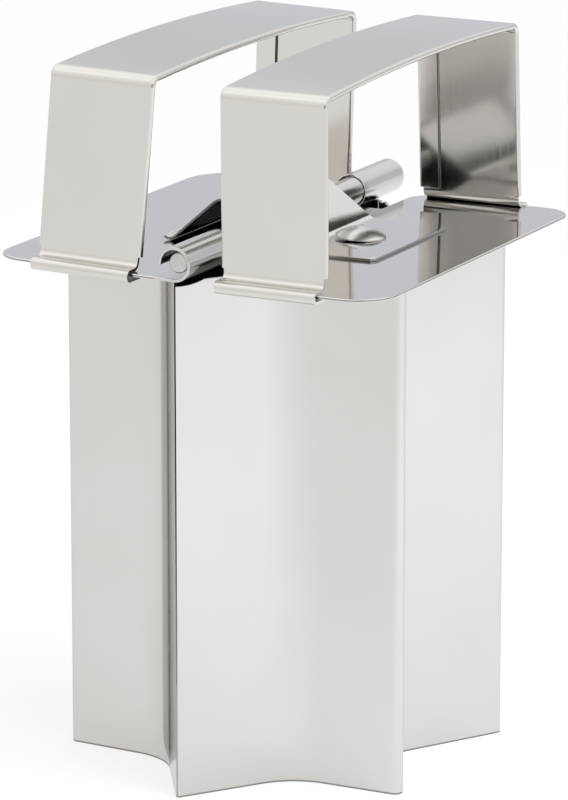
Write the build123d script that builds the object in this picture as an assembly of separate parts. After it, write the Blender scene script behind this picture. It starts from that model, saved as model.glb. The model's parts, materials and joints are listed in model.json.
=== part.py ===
from build123d import *
import math
import os

# Hinged star cutter in bent sheet. Sizes are millimetres, angles are degrees.
# X runs across the hinge, Y along it and Z up, from the middle of the cutting rim.

# Sheet stock
sheet = 0.4
spring_sheet = 0.35

# Star wall: radii to the sharp corners of its outside, how far its two front side points stray,
# the bends that round the corners, and the split's place
star_tip = 28.0
left_point_cut = 0.5
left_point_turn = 1.1
right_point_cut = 0.0
right_point_turn = 2.4
side_valley = 15.9
end_valley = 17.4
tip_bend = 1.0
side_valley_bend = 2.0
end_valley_bend = 8.0
wall_height = 64.05
split_gap = 0.2
split_x = -0.55

# Plates: reach to either side of the hinge axis, and to the front and the back of the star's middle
left_reach = 25.25
right_reach = 26.35
plate_front = 28.3
left_back = 29.0
right_back = 28.6
left_front_corner = 4.0
left_back_corner = 7.0
right_front_corner = 5.0
right_back_corner = 4.0
notch_corner = 2.5
notch_gap = 1.5
left_rise = 1.2

# Hinge: a pin, a tight roll in the middle and a loose roll at each end
pin_radius = 1.25
pin_clearance = 0.06
pin_recess = 0.4
pin_chamfer = 0.15
middle_knuckle = 35.3
roll_overhang = 1.1
knuckle_gap = 0.3
middle_wrap = 255.0
ramp_angle = 20.0
ramp_bend = 1.0
loose_slack = 0.44
loose_wrap = 277.0
pin_bearing = 25.0
relief_gap = 0.35

# Handles: a strip with folded edges, and a single foot that wraps the plate's edge
handle_width = 14.0
handle_height = 24.2
handle_bend = 1.4
strap_slope = 3.6
left_strap_tilt = -0.3
right_strap_tilt = 0.6
handle_turn = -0.45
hem_width = 2.8
hem_gap = 0.4
foot_bend = 0.8
foot_flat = 1.0
wrap_slack = 0.15
wrap_return = 4.0
left_handle_x = -11.12
right_handle_x = 11.95
left_front_lean = 3.9
left_back_lean = 0.7
right_front_lean = -0.4
right_back_lean = -1.7

# Leaf spring and its rivet
spring_width = 20.8
spring_flare = 1.3
spring_shift = 1.1
spring_tail = 6.9
spring_rise = 34.7
spring_fall = 41.5
spring_trough = -10.3
spring_tip = 1.1
spring_tip_rise = 25.0
foot_spring_bend = 2.0
crown_spring_bend = 2.2
trough_spring_bend = 1.2
spring_corner = 0.6
spring_seat_gap = 0.1
rivet_edge = 0.1
rivet_x = 9.75
rivet_lean = 3.2
rivet_radius = 1.6
rivet_head_radius = 3.1
rivet_rim = 0.15
rivet_dome = 1.05
rivet_tail_radius = 2.6
rivet_tail = 0.8

# Levels and places that follow from the sizes above
plate_top = wall_height + sheet
loose_bore = pin_radius + pin_clearance + loose_slack
loose_x = -loose_slack * math.cos(math.radians(pin_bearing))
hinge_z = plate_top + loose_bore + loose_slack * math.sin(math.radians(pin_bearing))
hinge_axis = Axis((0, 0, hinge_z), (0, 1, 0))
tight_bore = pin_radius + pin_clearance
tight_outer = tight_bore + sheet
loose_reach = loose_slack + loose_bore + sheet
roll_root = -loose_reach - knuckle_gap
hinge_back = left_back + roll_overhang
hinge_length = plate_front + hinge_back
hinge_middle = (hinge_back - plate_front) / 2
front_split = hinge_middle - middle_knuckle / 2
back_split = hinge_middle + middle_knuckle / 2
leg_inset = foot_bend + foot_flat
wrap_bore = sheet / 2 + wrap_slack
foot_tangent = foot_spring_bend * math.tan(math.radians(spring_rise / 2))
spring_foot = rivet_x - rivet_head_radius - rivet_edge - foot_tangent
beyond = 4 * (wall_height + star_tip + hinge_length)


def polar(radius, angle):
    """Point at a radius and angle in the plane."""
    return (radius * math.cos(math.radians(angle)), radius * math.sin(math.radians(angle)))


def strip(path, side, thickness=sheet):
    """Section of a bent sheet: a path thickened to one side."""
    return make_face(offset(path, thickness, side=side))


def along_y(section, front, back):
    """Sheet with an X-Z section, from one Y to another."""
    return Pos(0, back, 0) * extrude(Plane.XZ * section, back - front)


def along_x(section, width):
    """Sheet with a Y-Z section, as wide as stated across the hinge."""
    return extrude(Plane.YZ * section, width / 2, both=True)


def turned_left(shape):
    """Shape of the left half, risen about the hinge as its plate is."""
    return shape.rotate(hinge_axis, left_rise)


def trimmed(bent_sheet, corners, radii):
    """Bent sheet cut to an outline seen from above."""
    outline = make_face(FilletPolyline(*corners, radius=radii, close=True))
    return bent_sheet & extrude(outline, beyond, both=True)


def rivet_hole():
    """Hole for the rivet's shank through the spring and the right plate."""
    return Pos(rivet_x, spring_shift, 0) * Cylinder(rivet_radius, beyond)


def left_plate():
    """Half plate whose inner edge rolls under, up and over the pin at both ends."""
    path = Line((-left_reach, plate_top), (loose_x, plate_top))
    path += JernArc(path @ 1, path % 1, loose_bore, loose_wrap)
    notch_x = -tight_outer - notch_gap
    corners = [
        (-left_reach, -plate_front),
        (loose_reach, -plate_front),
        (loose_reach, front_split - knuckle_gap),
        (notch_x, front_split - knuckle_gap),
        (notch_x, back_split + knuckle_gap),
        (loose_reach, back_split + knuckle_gap),
        (loose_reach, hinge_back),
        (roll_root, hinge_back),
        (roll_root, left_back),
        (-left_reach, left_back),
    ]
    radii = [left_front_corner, 0, 0, sheet, sheet, 0, 0, 0, sheet, left_back_corner]
    bent_sheet = along_y(strip(path, Side.RIGHT), -plate_front, hinge_back)
    return turned_left(trimmed(bent_sheet, corners, radii))


def right_plate():
    """Half plate that ramps up to a tight roll in the middle, notched beside the loose rolls."""
    heading = (-math.cos(math.radians(ramp_angle)), math.sin(math.radians(ramp_angle)))
    touch = (-tight_bore * heading[1], hinge_z + tight_bore * heading[0])
    ramp_foot = touch[0] + (touch[1] - plate_top) / math.tan(math.radians(ramp_angle))
    path = FilletPolyline((right_reach, plate_top), (ramp_foot, plate_top), touch, radius=[ramp_bend])
    path += JernArc(touch, heading, tight_bore, -middle_wrap)
    notch_x = loose_reach + notch_gap
    corners = [
        (right_reach, -plate_front),
        (notch_x, -plate_front),
        (notch_x, front_split),
        (-notch_x, front_split),
        (-notch_x, back_split),
        (notch_x, back_split),
        (notch_x, right_back),
        (right_reach, right_back),
    ]
    radii = [right_front_corner, notch_corner, sheet, 0, 0, sheet, notch_corner, right_back_corner]
    plate = trimmed(along_y(strip(path, Side.LEFT), -plate_front, right_back), corners, radii)
    return plate - rivet_hole()


def hinge_pin():
    """Plain pin, a little shorter than the rolls that hold it."""
    pin = Cylinder(pin_radius, hinge_length - 2 * pin_recess)
    pin = chamfer(pin.edges().filter_by(GeomType.CIRCLE), pin_chamfer)
    return Pos(0, hinge_middle, hinge_z) * Rot(90, 0, 0) * pin


def half_star(side, point_cut, point_turn):
    """Half of the star wall on the +X or -X side, full height, cut back from the split plane."""
    radii = [star_tip, end_valley, star_tip - point_cut, side_valley, star_tip, end_valley, star_tip]
    strays = [0, 0, -point_turn, 0, 0, 0, 0]
    step = 180 / (len(radii) - 1)
    angles = [index * step - 90 + stray for index, stray in enumerate(strays)]
    corners = [polar(radius, angle) for radius, angle in zip(radii, angles)]
    corners = [(side * x, y) for x, y in corners]
    corners[0] = (split_x, -star_tip)
    corners[-1] = (split_x, star_tip)
    bends = [end_valley_bend, tip_bend, side_valley_bend, tip_bend, end_valley_bend]
    section = strip(FilletPolyline(*corners, radius=bends), Side.LEFT if side > 0 else Side.RIGHT)
    wall = extrude(section, wall_height + star_tip)
    other_side = split_x + side * (split_gap - beyond) / 2
    return wall - Pos(other_side, 0, 0) * Box(beyond, beyond, beyond)


def above_plates():
    """Everything over the underside of a level plate."""
    return Pos(0, 0, wall_height + beyond / 2) * Box(beyond, beyond, beyond)


def right_star_wall():
    """Right half of the wall, cut away under the loose rolls so that they can turn."""
    relief = Pos(0, hinge_middle, hinge_z) * Rot(90, 0, 0) * Cylinder(loose_reach + relief_gap, hinge_length)
    return half_star(1, right_point_cut, right_point_turn) - above_plates() - relief


def left_star_wall():
    """Left half of the wall, which stands upright under the risen plate."""
    return half_star(-1, left_point_cut, left_point_turn) - turned_left(above_plates())


def handle_section():
    """Strip across its width: one sheet thick, with both edges folded onto the inner side."""
    half = handle_width / 2
    section = Pos(0, sheet / 2) * Rectangle(handle_width - 2 * sheet, sheet)
    for side in (-1, 1):
        hem = hem_width - sheet
        section += Pos(side * (half - sheet - hem / 2), sheet) * Rectangle(hem, 2 * sheet)
        section += Pos(side * (half - sheet), sheet) * Circle(sheet)
    return section


def strap(leg_y, bend_z, tilt, arch_radius):
    """Arched strap, tilted up towards the back, with the two bends that lead down into the legs."""
    path = JernArc((-leg_y, bend_z), (0, 1), handle_bend, strap_slope + tilt - 90)
    path += JernArc(path @ 1, path % 1, arch_radius, -2 * strap_slope)
    path += JernArc(path @ 1, path % 1, handle_bend, strap_slope - tilt - 90)
    start = Plane((0, -leg_y, bend_z), x_dir=(1, 0, 0), z_dir=(0, 0, 1))
    return sweep(start * handle_section(), Plane.YZ * path)


def foot_section(leg_y):
    """Foot of the front leg: out over the plate, round its edge and back under it."""
    path = JernArc((sheet - leg_y, plate_top + foot_bend + sheet), (0, -1), foot_bend + sheet, -90)
    path += Line(path @ 1, (-leg_y - leg_inset, plate_top))
    path += JernArc(path @ 1, path % 1, wrap_bore, 180)
    path += Line(path @ 1, path @ 1 + (wrap_return, 0))
    return strip(path, Side.RIGHT)


def handle(middle_x, plate_back, tilt, front_lean, back_lean):
    """Handle on a level plate, each leg leaning as far as stated towards +X at its top."""
    leg_y = (plate_front + plate_back) / 2 - leg_inset
    bend_offset = (leg_y - handle_bend) / math.sin(math.radians(strap_slope)) / math.cos(math.radians(tilt))
    arch_radius = bend_offset + handle_bend
    arch_z = plate_top + handle_height - arch_radius
    front_bend_z = arch_z + bend_offset * math.cos(math.radians(strap_slope + tilt))
    back_bend_z = arch_z + bend_offset * math.cos(math.radians(strap_slope - tilt))
    single_width = handle_width - 2 * sheet
    foot_z = plate_top + foot_bend + sheet
    hem_z = foot_z + hem_gap
    shape = strap(leg_y, front_bend_z, tilt, arch_radius)
    for end, lean, bend_z in ((-1, front_lean, front_bend_z), (1, back_lean, back_bend_z)):
        slant = math.tan(math.radians(lean))
        down = Vector(-slant, 0, -1)
        leg_top = Plane((0, end * leg_y, bend_z), x_dir=(1, 0, 0), z_dir=(0, 0, -end))
        shape += extrude(leg_top * handle_section(), (bend_z - hem_z) * down.length, dir=down)
        ankle = Pos(slant * (hem_z - bend_z), end * (leg_y - sheet / 2), hem_z)
        ankle *= Rectangle(single_width, sheet)
        shape += extrude(ankle, (hem_z - foot_z) * down.length, dir=down)
        foot = along_x(foot_section(leg_y), single_width)
        foot = foot if end < 0 else mirror(foot, Plane.XZ)
        shape += Pos(slant * (foot_z - bend_z), 0, 0) * foot
    return Pos(middle_x, (plate_back - plate_front) / 2, 0) * Rot(0, 0, handle_turn) * shape


def left_top(x):
    """Height of the left plate's upper face at x."""
    rise = math.radians(left_rise)
    return hinge_z + (plate_top - hinge_z) / math.cos(rise) - x * math.tan(rise)


def leaf_spring():
    """Strip that lies on the right plate, arches over the hinge and bears on the left plate."""
    rise = math.tan(math.radians(spring_rise))
    fall = math.tan(math.radians(spring_fall))
    turn = math.radians(spring_fall + spring_tip_rise) / 2
    skew = math.radians(spring_fall - spring_tip_rise) / 2
    dip = trough_spring_bend * (math.cos(skew) / math.cos(turn) - 1)
    trough_z = left_top(spring_trough) + spring_seat_gap - dip
    crown_x = (spring_foot * rise + plate_top - trough_z + spring_trough * fall) / (rise + fall)
    crown_z = trough_z + (crown_x - spring_trough) * fall
    tip = polar(spring_tip, 180 - spring_tip_rise)
    base_x = rivet_x + spring_tail
    end_x = spring_trough - spring_tip
    path = FilletPolyline(
        (base_x, plate_top),
        (spring_foot, plate_top),
        (crown_x, crown_z),
        (spring_trough, trough_z),
        (spring_trough + tip[0], trough_z + tip[1]),
        radius=[foot_spring_bend, crown_spring_bend, trough_spring_bend],
    )
    half_base = spring_width / 2
    half_end = half_base + spring_flare
    leaf = Pos(0, spring_shift, 0) * along_y(strip(path, Side.RIGHT, spring_sheet), -half_end, half_end)
    outline = make_face(Polyline(
        (base_x - spring_corner, spring_shift - half_base),
        (base_x, spring_shift - half_base + spring_corner),
        (base_x, spring_shift + half_base - spring_corner),
        (base_x - spring_corner, spring_shift + half_base),
        (end_x, spring_shift + half_end),
        (end_x, spring_shift - half_end),
        close=True,
    ))
    return (leaf & extrude(outline, beyond, both=True)) - rivet_hole()


def rivet_head(seat):
    """Low dome that stands on its right rim, its left rim lifted."""
    profile = Polyline((0, seat), (rivet_head_radius, seat), (rivet_head_radius, seat + rivet_rim))
    crown = (0, seat + rivet_rim + rivet_dome)
    profile += TangentArc(crown, profile @ 1, tangent=(1, 0))
    profile += Line(crown, (0, seat))
    dome = revolve(Plane.XZ * make_face(profile), Axis.Z)
    return dome.rotate(Axis((rivet_head_radius, 0, seat), (0, 1, 0)), rivet_lean)


def spring_rivet():
    """Low-dome rivet through the spring and the right plate, spread flat underneath."""
    seat = plate_top + spring_sheet
    tail = wall_height - rivet_tail
    shank_top = seat + rivet_head_radius * math.sin(math.radians(rivet_lean)) + rivet_rim
    shank = Pos(0, 0, wall_height) * extrude(Circle(rivet_radius), shank_top - wall_height)
    spread_tail = Pos(0, 0, tail) * extrude(Circle(rivet_tail_radius), rivet_tail)
    return Pos(rivet_x, spring_shift, 0) * (rivet_head(seat) + shank + spread_tail)


nodes = {
    "left_plate": left_plate(),
    "right_plate": right_plate(),
    "hinge_pin": hinge_pin(),
    "leaf_spring": leaf_spring(),
    "spring_rivet": spring_rivet(),
    "left_handle": turned_left(
        handle(left_handle_x, left_back, left_strap_tilt, left_front_lean, left_back_lean)
    ),
    "right_handle": handle(
        right_handle_x, right_back, right_strap_tilt, right_front_lean, right_back_lean
    ),
    "left_star_wall": left_star_wall(),
    "right_star_wall": right_star_wall(),
}

os.makedirs("parts", exist_ok=True)
for name, shape in nodes.items():
    export_step(shape, f"parts/{name}.step")
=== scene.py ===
import json
import math

import bmesh
import bpy
from mathutils import Matrix, Vector


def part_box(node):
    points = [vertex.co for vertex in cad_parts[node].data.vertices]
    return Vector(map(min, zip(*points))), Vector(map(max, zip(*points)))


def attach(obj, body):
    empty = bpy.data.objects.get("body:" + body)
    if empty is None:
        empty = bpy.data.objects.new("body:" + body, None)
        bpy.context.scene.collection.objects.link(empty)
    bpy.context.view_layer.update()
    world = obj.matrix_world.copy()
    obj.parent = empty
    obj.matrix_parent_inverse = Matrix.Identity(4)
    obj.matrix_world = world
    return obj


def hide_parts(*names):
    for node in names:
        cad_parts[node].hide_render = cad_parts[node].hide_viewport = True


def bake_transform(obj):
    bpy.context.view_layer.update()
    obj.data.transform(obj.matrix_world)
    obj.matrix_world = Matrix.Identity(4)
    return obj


# Hinged star cutter in bright sheet steel, lit and seen as in the photograph. Metres throughout.
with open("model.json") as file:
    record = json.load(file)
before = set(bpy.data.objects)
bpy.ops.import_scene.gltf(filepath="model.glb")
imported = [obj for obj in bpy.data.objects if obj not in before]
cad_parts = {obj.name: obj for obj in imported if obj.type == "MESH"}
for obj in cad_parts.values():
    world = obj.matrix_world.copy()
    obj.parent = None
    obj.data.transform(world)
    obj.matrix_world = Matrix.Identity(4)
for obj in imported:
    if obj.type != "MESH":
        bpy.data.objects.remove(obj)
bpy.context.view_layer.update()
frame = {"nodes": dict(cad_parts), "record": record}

MM = 0.001
WHITE = (1, 1, 1)
EVEN = (1, 1, 1)

# Camera fitted to the photograph: bearing, height angle, sideways and upward offset, distance and
# focal length
IMAGE_HEIGHT_PX = 800
SENSOR_MM = 36.0
CAMERA_AZIMUTH = math.radians(26.882)
CAMERA_ELEVATION = math.radians(14.278)
CAMERA_RIGHT = -0.158 * MM
CAMERA_UP = 42.095 * MM
CAMERA_DISTANCE = 638.293 * MM
CAMERA_FOCAL_PX = 5077.645
CAMERA_AHEAD = Vector((-math.sin(CAMERA_AZIMUTH), math.cos(CAMERA_AZIMUTH), 0))
CLIP_START = 0.01
CLIP_END = 20.0

# Edge rounding of each slot's sheet, the least angle that is rounded, and the rounding's steps and profile
EDGE_ROUND = {
    "plate": 0.15 * MM, "handle": 0.05 * MM, "wall": 0.07 * MM,
    "spring": 0.17 * MM, "rivet": 0.05 * MM, "pin": 0.05 * MM,
}
EDGE_ANGLE = math.radians(35.0)
EDGE_STEPS = 2
ROUND_PROFILE = 0.5

# Packed faces: the distance within which their borders join, the angle under which they merge into one
# flat face, and the slots whose pieces need that before their edges are rounded
JOIN_DISTANCE = 0.001 * MM
FLAT_ANGLE = math.radians(0.2)
FLAT_SLOTS = ("plate", "wall")

# Leaf spring: the width of the strips that it is cut into
LEAF_STEP = 0.4 * MM

# Left handle's arch, taken from the right handle: half of the length that is taken, and the turns, stretch
# and move that bring it into place
GRIP_HALF = 24.0 * MM
GRIP_RISE = math.radians(1.2)
GRIP_TILT = math.radians(-0.9)
GRIP_STRETCH = 1.00788
GRIP_MOVE = Vector((-24.469, -1.1695, -0.172)) * MM

# Rolled sheet: features per metre and detail of its clouds, grain, smudges and waves, how many times finer
# the grain is across its run than along it, and the height of the waves
CLOUD_SCALE = 55.0
CLOUD_DETAIL = 4.0
GRAIN_SCALE = 90.0
GRAIN_DETAIL = 3.0
GRAIN_STRETCH = 60.0
SMUDGE_SCALE = 140.0
SMUDGE_DETAIL = 3.0
WAVE_SCALE = 40.0
WAVE_DETAIL = 1.0
WAVE_HEIGHT = 0.008 * MM

# Values between which most of the noise lies, and the shares of grain and of smudges in the gloss
NOISE_LOW = 0.3
NOISE_HIGH = 0.7
GLOSS_SHARE = 0.5

# Finish of each slot: light and dark tone, least and most roughness, height of the grain, and 1 for each
# axis that the grain runs along
FINISHES = {
    "plate": {
        "light": (0.70, 0.685, 0.675), "dark": (0.67, 0.655, 0.645),
        "smooth": 0.035, "rough": 0.075, "grain": 0.00005 * MM, "run": (0, 1, 1),
    },
    "handle": {
        "light": (0.675, 0.66, 0.624), "dark": (0.65, 0.63, 0.594),
        "smooth": 0.09, "rough": 0.15, "grain": 0.0001 * MM, "run": (0, 1, 1),
    },
    "wall": {
        "light": (0.655, 0.638, 0.618), "dark": (0.63, 0.61, 0.59),
        "smooth": 0.11, "rough": 0.17, "grain": 0.0001 * MM, "run": (0, 0, 1),
    },
    "spring": {
        "light": (0.68, 0.67, 0.665), "dark": (0.65, 0.64, 0.635),
        "smooth": 0.05, "rough": 0.10, "grain": 0.00008 * MM, "run": (1, 0, 1),
    },
    "rivet": {
        "light": (0.68, 0.67, 0.66), "dark": (0.62, 0.61, 0.60),
        "smooth": 0.22, "rough": 0.32, "grain": 0.0001 * MM, "run": (1, 1, 1),
    },
    "pin": {
        "light": (0.64, 0.63, 0.62), "dark": (0.48, 0.47, 0.455),
        "smooth": 0.22, "rough": 0.35, "grain": 0.0004 * MM, "run": (0, 1, 0),
    },
}

# Rolled hinge: the distances from its axis at which its duller look starts and is full, its tone and its
# added roughness
ROLL_EDGE = 3.4 * MM
ROLL_FULL = 2.4 * MM
ROLL_TONE = (0.60, 0.59, 0.58)
ROLL_ROUGH = 0.12

# Tint of what the star wall mirrors at a glancing angle, grey so that it paints shade along the wall's
# outlines
WALL_GLANCE_SHADE = (0.82, 0.82, 0.82)

# Sheared edges, their dark tone partly the sheared steel and partly painted shade of the gaps beside plate,
# leaf and hem edges: tone of each slot, added roughness, and the slopes between which an edge takes over
SHEAR_AND_SHADE_TONES = {
    "plate": (0.30, 0.29, 0.28), "spring": (0.38, 0.37, 0.36),
    "handle": (0.10, 0.095, 0.09), "wall": (0.22, 0.215, 0.21),
}
CUT_ROUGH = 0.15
CUT_START = 0.45
CUT_FULL = 0.2

# Free edges of the handles' hems: the sideways slopes between which they take over, the strip's middle, and
# the distances from it that part them from the folded edges, the last three in shares of the strip's width
HEM_START = 0.5
HEM_FULL = 0.8
STRIP_MIDDLE = 0.5
HEM_OUTER = 0.39
HEM_INNER = 0.35

# Cutting rim: the heights at which its dark tone starts and is full, partly the sheared rim and partly
# painted contact shadow where it meets the floor
RIM_SHADE_START = 0.32 * MM
RIM_SHADE_FULL = 0.12 * MM

# Leaf spring's lower face, painted near black as the shade in the hollow under it: its tone, and the slopes
# between which it takes over
UNDERSIDE_SHADE_TONE = (0.035, 0.033, 0.032)
UNDERSIDE_SHADE_START = -0.15
UNDERSIDE_SHADE_FULL = -0.35

# Floor: half its side, and how much of its white glows and how much takes light and shadow
FLOOR_HALF = 2.0
FLOOR_GLOW = 0.75
FLOOR_MATT = 0.20

# Studio dome: strength, tones round the horizon with their shares of the way from front to back, the height
# at which they start to give way, and grey tones at rising heights. Heights are sines of their angles.
DOME_STRENGTH = 1.36
HORIZON_FRONT = (0.70, 0.675, 0.645)
HORIZON_SIDE = (0.66, 0.66, 0.66)
HORIZON_BACK = (0.505, 0.515, 0.55)
FRONT_SHARE = 0.25
SIDE_SHARE = 0.6
BACK_SHARE = 0.85
HORIZON_TOP = 0.27
DOME_FOOT = 0.38
DOME_STEPS = [(DOME_FOOT, 0.735), (0.59, 0.78), (0.72, 0.88), (0.82, 1.0), (0.94, 0.88)]

# Dark opening of the studio towards the photographer: bearing and height of its middle, and the angles from
# there at which it is full and at which it ends, all in degrees, and its tone
OPENING_BEARING = -62.0
OPENING_HEIGHT = 9.0
OPENING_FULL = 11.0
OPENING_END = 24.0
OPENING_TONE = (0.06, 0.055, 0.055)

# Soft lamp over the floor to the right of the object: place, the point it faces, side, power and colour
LAMP_PLACE = (0.17, 0.0, 0.22)
LAMP_TARGET = (0.17, 0.0, 0.0)
LAMP_SIZE = 0.26
LAMP_WATTS = 1.2
LAMP_COLOUR = (0.93, 1.0, 1.07)


def grey(value):
    """Neutral tone."""
    return (value, value, value)


def opaque(tone):
    """Tone as a full colour."""
    return (*tone, 1)


def feed(tree, socket, value):
    """Links an output to an input, or sets the input to a value."""
    if isinstance(value, bpy.types.NodeSocket):
        tree.links.new(value, socket)
    else:
        socket.default_value = value


def add_node(tree, kind, **inputs):
    """New node with some of its inputs fed, named with underscores for spaces."""
    node = tree.nodes.new(kind)
    for name, value in inputs.items():
        feed(tree, node.inputs[name.replace("_", " ")], value)
    return node


def combine(tree, operation, *values, kind="ShaderNodeMath"):
    """Result of a sum whose terms are sockets or numbers."""
    node = tree.nodes.new(kind)
    node.operation = operation
    for socket, value in zip(node.inputs, values):
        feed(tree, socket, value)
    return node.outputs["Value"]


def noise(tree, place, scale, detail, stretch=EVEN):
    """Noise that is stretched along the axes as stated."""
    mapping = add_node(tree, "ShaderNodeMapping", Vector=place, Scale=stretch)
    return add_node(
        tree, "ShaderNodeTexNoise", Vector=mapping.outputs["Vector"], Scale=scale, Detail=detail
    ).outputs["Fac"]


def rescaled(tree, value, low, high, new_low=0, new_high=1):
    """Value taken from one range to another."""
    return add_node(
        tree, "ShaderNodeMapRange", Value=value,
        From_Min=low, From_Max=high, To_Min=new_low, To_Max=new_high,
    ).outputs["Result"]


def between(tree, value, low, high):
    """Share that goes smoothly from 0 to 1 as a value goes from one end to the other."""
    node = add_node(tree, "ShaderNodeMapRange", Value=value, From_Min=low, From_Max=high)
    node.interpolation_type = "SMOOTHSTEP"
    return node.outputs["Result"]


def ramp(tree, value, stops):
    """Colour that follows a value through rising stops, given as place and tone."""
    node = add_node(tree, "ShaderNodeValToRGB", Fac=value)
    elements = node.color_ramp.elements
    elements.remove(elements[-1])
    for place, tone in stops[1:]:
        elements.new(place)
    for element, (place, tone) in zip(elements, stops):
        element.position = place
        element.color = opaque(tone)
    return node.outputs["Color"]


def blend_tones(tree, share, first, second):
    """Colour between two, each a socket or a tone, that follows a share."""
    node = add_node(tree, "ShaderNodeMix", Factor=share)
    node.data_type = "RGBA"
    for name, value in (("A_Color", first), ("B_Color", second)):
        socket = next(item for item in node.inputs if item.identifier == name)
        feed(tree, socket, opaque(value) if isinstance(value, tuple) else value)
    return next(item for item in node.outputs if item.identifier == "Result_Color")


def part(tree, vector, axis):
    """One axis of a vector."""
    return add_node(tree, "ShaderNodeSeparateXYZ", Vector=vector).outputs[axis]


def reach(tree, value, middle=0):
    """Distance of a value from a middle."""
    return combine(tree, "ABSOLUTE", combine(tree, "SUBTRACT", value, middle))


def rougher(tree, roughness, share, added):
    """Roughness raised where a share is."""
    return combine(tree, "ADD", roughness, combine(tree, "MULTIPLY", share, added))


def rolled_hinge(tree, place):
    """Share of the plates that is rolled round the hinge pin."""
    return between(tree, reach(tree, part(tree, place, "X")), ROLL_EDGE, ROLL_FULL)


def cut_edges_and_shade(tree, name, lookup):
    """Share of sheared edge, darkened also as painted shade of the gaps beside it: a cutting rim, the free
    edge of a hem, or the rim of a flat sheet.
    """
    normal = lookup["Normal"]
    place = lookup["Object"]
    if name == "wall":
        # Dark line at the wall's foot: partly sheared rim, partly painted contact shadow
        return between(tree, part(tree, place, "Z"), RIM_SHADE_START, RIM_SHADE_FULL)
    if name == "handle":
        free = between(tree, reach(tree, part(tree, normal, "X")), HEM_START, HEM_FULL)
        aside = reach(tree, part(tree, lookup["Generated"], "X"), STRIP_MIDDLE)
        return combine(tree, "MULTIPLY", free, between(tree, aside, HEM_OUTER, HEM_INNER))
    edge = between(tree, reach(tree, part(tree, normal, "Z")), CUT_START, CUT_FULL)
    if name == "plate":
        flat = combine(tree, "SUBTRACT", 1, rolled_hinge(tree, place))
        edge = combine(tree, "MULTIPLY", edge, flat)
    return edge


def sheet_steel(name, finish):
    """Rolled sheet: cloudy tone, fine grain and smudges in its gloss, and slight waves in the surface."""
    material = bpy.data.materials.new(name + "_steel")
    material.use_nodes = True
    tree = material.node_tree
    shader = tree.nodes["Principled BSDF"]
    shader.inputs["Metallic"].default_value = 1.0
    lookup = tree.nodes.new("ShaderNodeTexCoord").outputs
    place = lookup["Object"]
    across = [1 if runs else GRAIN_STRETCH for runs in finish["run"]]
    clouds = noise(tree, place, CLOUD_SCALE, CLOUD_DETAIL)
    grain = noise(tree, place, GRAIN_SCALE, GRAIN_DETAIL, across)
    smudges = noise(tree, place, SMUDGE_SCALE, SMUDGE_DETAIL)
    waves = noise(tree, place, WAVE_SCALE, WAVE_DETAIL)
    tone = ramp(tree, clouds, [(NOISE_LOW, finish["dark"]), (NOISE_HIGH, finish["light"])])
    dullness = combine(tree, "MULTIPLY", combine(tree, "ADD", grain, smudges), GLOSS_SHARE)
    roughness = rescaled(tree, dullness, NOISE_LOW, NOISE_HIGH, finish["smooth"], finish["rough"])
    if name in SHEAR_AND_SHADE_TONES:
        # Sheared edge tone, which also paints the shade of the gaps beside the edges
        cut = cut_edges_and_shade(tree, name, lookup)
        tone = blend_tones(tree, cut, tone, SHEAR_AND_SHADE_TONES[name])
        roughness = rougher(tree, roughness, cut, CUT_ROUGH)
    if name == "plate":
        rolled = rolled_hinge(tree, place)
        tone = blend_tones(tree, rolled, tone, ROLL_TONE)
        roughness = rougher(tree, roughness, rolled, ROLL_ROUGH)
    if name == "spring":
        # Painted shade: faces of the leaf that point down turn near black
        underside_shade = between(tree, part(tree, lookup["Normal"], "Z"), UNDERSIDE_SHADE_START, UNDERSIDE_SHADE_FULL)
        tone = blend_tones(tree, underside_shade, tone, UNDERSIDE_SHADE_TONE)
    if name == "wall":
        # Painted shade: a grey glancing tint darkens the wall towards its outlines
        shader.inputs["Specular Tint"].default_value = opaque(WALL_GLANCE_SHADE)
    waved = add_node(tree, "ShaderNodeBump", Height=waves, Distance=WAVE_HEIGHT)
    grained = add_node(
        tree, "ShaderNodeBump", Height=grain, Distance=finish["grain"], Normal=waved.outputs["Normal"]
    )
    feed(tree, shader.inputs["Base Color"], tone)
    feed(tree, shader.inputs["Roughness"], roughness)
    feed(tree, shader.inputs["Normal"], grained.outputs["Normal"])
    return material


def new_object(name, data):
    """Object that shows a mesh, lamp or camera in the scene."""
    obj = bpy.data.objects.new(name, data)
    bpy.context.scene.collection.objects.link(obj)
    return obj


def rounded(obj, slot):
    """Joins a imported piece's faces and rounds its edges as its slot asks."""
    weld = obj.modifiers.new("join", "WELD")
    weld.merge_threshold = JOIN_DISTANCE
    if slot in FLAT_SLOTS:
        flat = obj.modifiers.new("flat", "DECIMATE")
        flat.decimate_type = "DISSOLVE"
        flat.angle_limit = FLAT_ANGLE
    bevel = obj.modifiers.new("edges", "BEVEL")
    bevel.width = EDGE_ROUND[slot]
    bevel.segments = EDGE_STEPS
    bevel.limit_method = "ANGLE"
    bevel.angle_limit = EDGE_ANGLE
    obj.modifiers.new("shading", "WEIGHTED_NORMAL")


def packed(name):
    """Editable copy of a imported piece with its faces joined."""
    work = bmesh.new()
    work.from_mesh(frame["nodes"][name].data)
    bmesh.ops.remove_doubles(work, verts=work.verts, dist=JOIN_DISTANCE)
    return work


def drawn(name, work, material):
    """Smooth object made from an edited copy, which is freed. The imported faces' old normals are dropped."""
    mesh = bpy.data.meshes.new(name)
    work.to_mesh(mesh)
    work.free()
    old_normals = mesh.attributes.get("custom_normal")
    if old_normals:
        mesh.attributes.remove(old_normals)
    mesh.materials.append(material)
    mesh.shade_smooth()
    mesh.set_sharp_from_angle(angle=EDGE_ANGLE)
    obj = new_object(name, mesh)
    shading = obj.modifiers.new("shading", "WEIGHTED_NORMAL")
    shading.keep_sharp = True
    return obj


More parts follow.
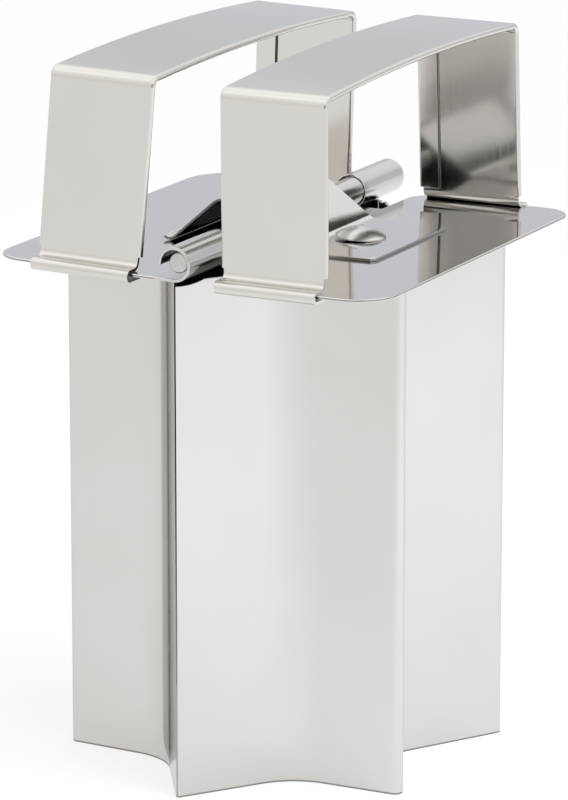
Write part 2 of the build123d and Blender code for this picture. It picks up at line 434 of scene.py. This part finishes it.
def cut_through(work, place, way, clear=False):
    """Cuts an edited copy at a plane, clears what lies past it if asked, and gives the edges of the cut."""
    everything = work.verts[:] + work.edges[:] + work.faces[:]
    cut = bmesh.ops.bisect_plane(work, geom=everything, plane_co=place, plane_no=way, clear_outer=clear)
    return [item for item in cut["geom_cut"] if isinstance(item, bmesh.types.BMEdge)]


def cut_away(work, place, way):
    """Removes what lies past a plane and closes the cut."""
    rim = cut_through(work, place, way, clear=True)
    bmesh.ops.contextual_create(work, geom=rim)


def gather(whole, work):
    """Adds an edited copy to another and frees it."""
    mesh = bpy.data.meshes.new("gathered")
    work.to_mesh(mesh)
    work.free()
    whole.from_mesh(mesh)
    bpy.data.meshes.remove(mesh)


def left_grip(material):
    """Left handle with the right one's arch in place of its own, whose packed folds are uneven."""
    turn = Matrix.Rotation(GRIP_RISE, 4, "Y") @ Matrix.Rotation(GRIP_TILT, 4, "X")
    stretch = Matrix.Diagonal((1, GRIP_STRETCH, GRIP_STRETCH, 1))
    place = Matrix.Translation(GRIP_MOVE) @ turn @ stretch
    whole = bmesh.new()
    arch = packed("right_handle")
    for side in (-1, 1):
        end = Vector((0, side * GRIP_HALF, 0))
        way = Vector((0, side, 0))
        cut_away(arch, end, way)
        leg = packed("left_handle")
        cut_away(leg, place @ end, turn @ -way)
        gather(whole, leg)
    bmesh.ops.transform(arch, matrix=place, verts=arch.verts)
    gather(whole, arch)
    bmesh.ops.recalc_face_normals(whole, faces=whole.faces)
    grip = drawn("left_grip", whole, material)
    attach(grip, "left_half")
    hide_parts("left_handle")


def bending_leaf(material):
    """Leaf spring with rounded edges, cut into narrow strips."""
    low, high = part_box("leaf_spring")
    work = packed("leaf_spring")
    bmesh.ops.dissolve_limit(work, angle_limit=FLAT_ANGLE, verts=work.verts, edges=work.edges)
    corners = [edge for edge in work.edges if edge.calc_face_angle(0) > EDGE_ANGLE]
    bmesh.ops.bevel(
        work, geom=corners, offset=EDGE_ROUND["spring"], offset_type="OFFSET", affect="EDGES",
        segments=EDGE_STEPS, profile=ROUND_PROFILE, clamp_overlap=True,
    )
    for index in range(1, int((high.x - low.x) / LEAF_STEP)):
        cut_through(work, (low.x + index * LEAF_STEP, 0, 0), (1, 0, 0))
    leaf = drawn("bending_leaf", work, material)
    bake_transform(leaf)
    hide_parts("leaf_spring")


def floor_white():
    """White to the camera and in reflections, with the object's shadow kept in part of it."""
    material = bpy.data.materials.new("floor_white")
    material.use_nodes = True
    tree = material.node_tree
    tree.nodes.remove(tree.nodes["Principled BSDF"])
    matt = add_node(tree, "ShaderNodeBsdfDiffuse", Color=opaque(WHITE))
    glow = add_node(tree, "ShaderNodeEmission", Color=opaque(WHITE), Strength=FLOOR_GLOW)
    shaded = add_node(tree, "ShaderNodeBsdfDiffuse", Color=opaque(grey(FLOOR_MATT)))
    both = tree.nodes.new("ShaderNodeAddShader")
    feed(tree, both.inputs[0], glow.outputs["Emission"])
    feed(tree, both.inputs[1], shaded.outputs["BSDF"])
    path = tree.nodes.new("ShaderNodeLightPath").outputs
    seen = combine(tree, "MAXIMUM", path["Is Camera Ray"], path["Is Glossy Ray"])
    seen = combine(tree, "MAXIMUM", seen, path["Is Transmission Ray"])
    pick = add_node(tree, "ShaderNodeMixShader", Fac=seen)
    feed(tree, pick.inputs[1], matt.outputs["BSDF"])
    feed(tree, pick.inputs[2], both.outputs["Shader"])
    feed(tree, tree.nodes["Material Output"].inputs["Surface"], pick.outputs["Shader"])
    return material


def floor():
    """Wide white floor under the cutting rim."""
    mesh = bpy.data.meshes.new("floor")
    signs = ((-1, -1), (1, -1), (1, 1), (-1, 1))
    mesh.from_pydata([(x * FLOOR_HALF, y * FLOOR_HALF, 0) for x, y in signs], [], [(0, 1, 2, 3)])
    mesh.materials.append(floor_white())
    new_object("floor", mesh)


def heading(bearing, height):
    """Direction at a bearing from +X and a height, both in degrees."""
    level = math.cos(math.radians(height))
    turn = math.radians(bearing)
    return (level * math.cos(turn), level * math.sin(turn), math.sin(math.radians(height)))


def along(tree, direction, way):
    """How far a direction points one way, from -1 to 1."""
    return combine(tree, "DOT_PRODUCT", direction, way, kind="ShaderNodeVectorMath")


def studio_world():
    """Soft dome, cooler behind the object and brightest high up, with the studio's dark opening."""
    world = bpy.data.worlds.new("studio")
    bpy.context.scene.world = world
    world.use_nodes = True
    tree = world.node_tree
    direction = tree.nodes.new("ShaderNodeTexCoord").outputs["Generated"]
    share = rescaled(tree, along(tree, direction, CAMERA_AHEAD), -1, 1)
    stops = [(FRONT_SHARE, HORIZON_FRONT), (SIDE_SHARE, HORIZON_SIDE), (BACK_SHARE, HORIZON_BACK)]
    horizon = ramp(tree, share, stops)
    height = part(tree, direction, "Z")
    upper = ramp(tree, height, [(place, grey(value)) for place, value in DOME_STEPS])
    tone = blend_tones(tree, between(tree, height, HORIZON_TOP, DOME_FOOT), horizon, upper)
    near = along(tree, direction, heading(OPENING_BEARING, OPENING_HEIGHT))
    edge = math.cos(math.radians(OPENING_END))
    middle = math.cos(math.radians(OPENING_FULL))
    tone = blend_tones(tree, between(tree, near, edge, middle), tone, OPENING_TONE)
    ground = tree.nodes["Background"]
    feed(tree, ground.inputs["Color"], tone)
    ground.inputs["Strength"].default_value = DOME_STRENGTH


def side_lamp():
    """Square soft light that only matt surfaces show."""
    light = bpy.data.lights.new("side", "AREA")
    light.size = LAMP_SIZE
    light.energy = LAMP_WATTS
    light.color = LAMP_COLOUR
    obj = new_object("side", light)
    obj.visible_glossy = False
    obj.visible_camera = False
    obj.location = LAMP_PLACE
    facing = Vector(LAMP_TARGET) - Vector(LAMP_PLACE)
    obj.rotation_euler = facing.to_track_quat("-Z", "Y").to_euler()


def photo_camera():
    """Camera at the photograph's place."""
    back = Vector((0, 0, math.sin(CAMERA_ELEVATION))) - CAMERA_AHEAD * math.cos(CAMERA_ELEVATION)
    side = Vector((math.cos(CAMERA_AZIMUTH), math.sin(CAMERA_AZIMUTH), 0))
    top = back.cross(side)
    data = bpy.data.cameras.new("camera")
    data.sensor_width = SENSOR_MM
    data.lens = CAMERA_FOCAL_PX * SENSOR_MM / IMAGE_HEIGHT_PX
    data.clip_start = CLIP_START
    data.clip_end = CLIP_END
    camera = new_object("camera", data)
    place = back * CAMERA_DISTANCE + side * CAMERA_RIGHT + top * CAMERA_UP
    camera.matrix_world = Matrix.Translation(place) @ Matrix((side, top, back)).transposed().to_4x4()
    bpy.context.scene.camera = camera


steels = {slot: sheet_steel(slot, finish) for slot, finish in FINISHES.items()}
for piece in frame["record"]["subparts"]:
    node = frame["nodes"][piece["node"]]
    for slot in node.material_slots:
        slot.material = steels[piece["material_slot"]]
    rounded(node, piece["material_slot"])
bending_leaf(steels["spring"])
left_grip(steels["handle"])

floor()
studio_world()
side_lamp()
photo_camera()
bpy.context.scene.view_settings.view_transform = "Standard"
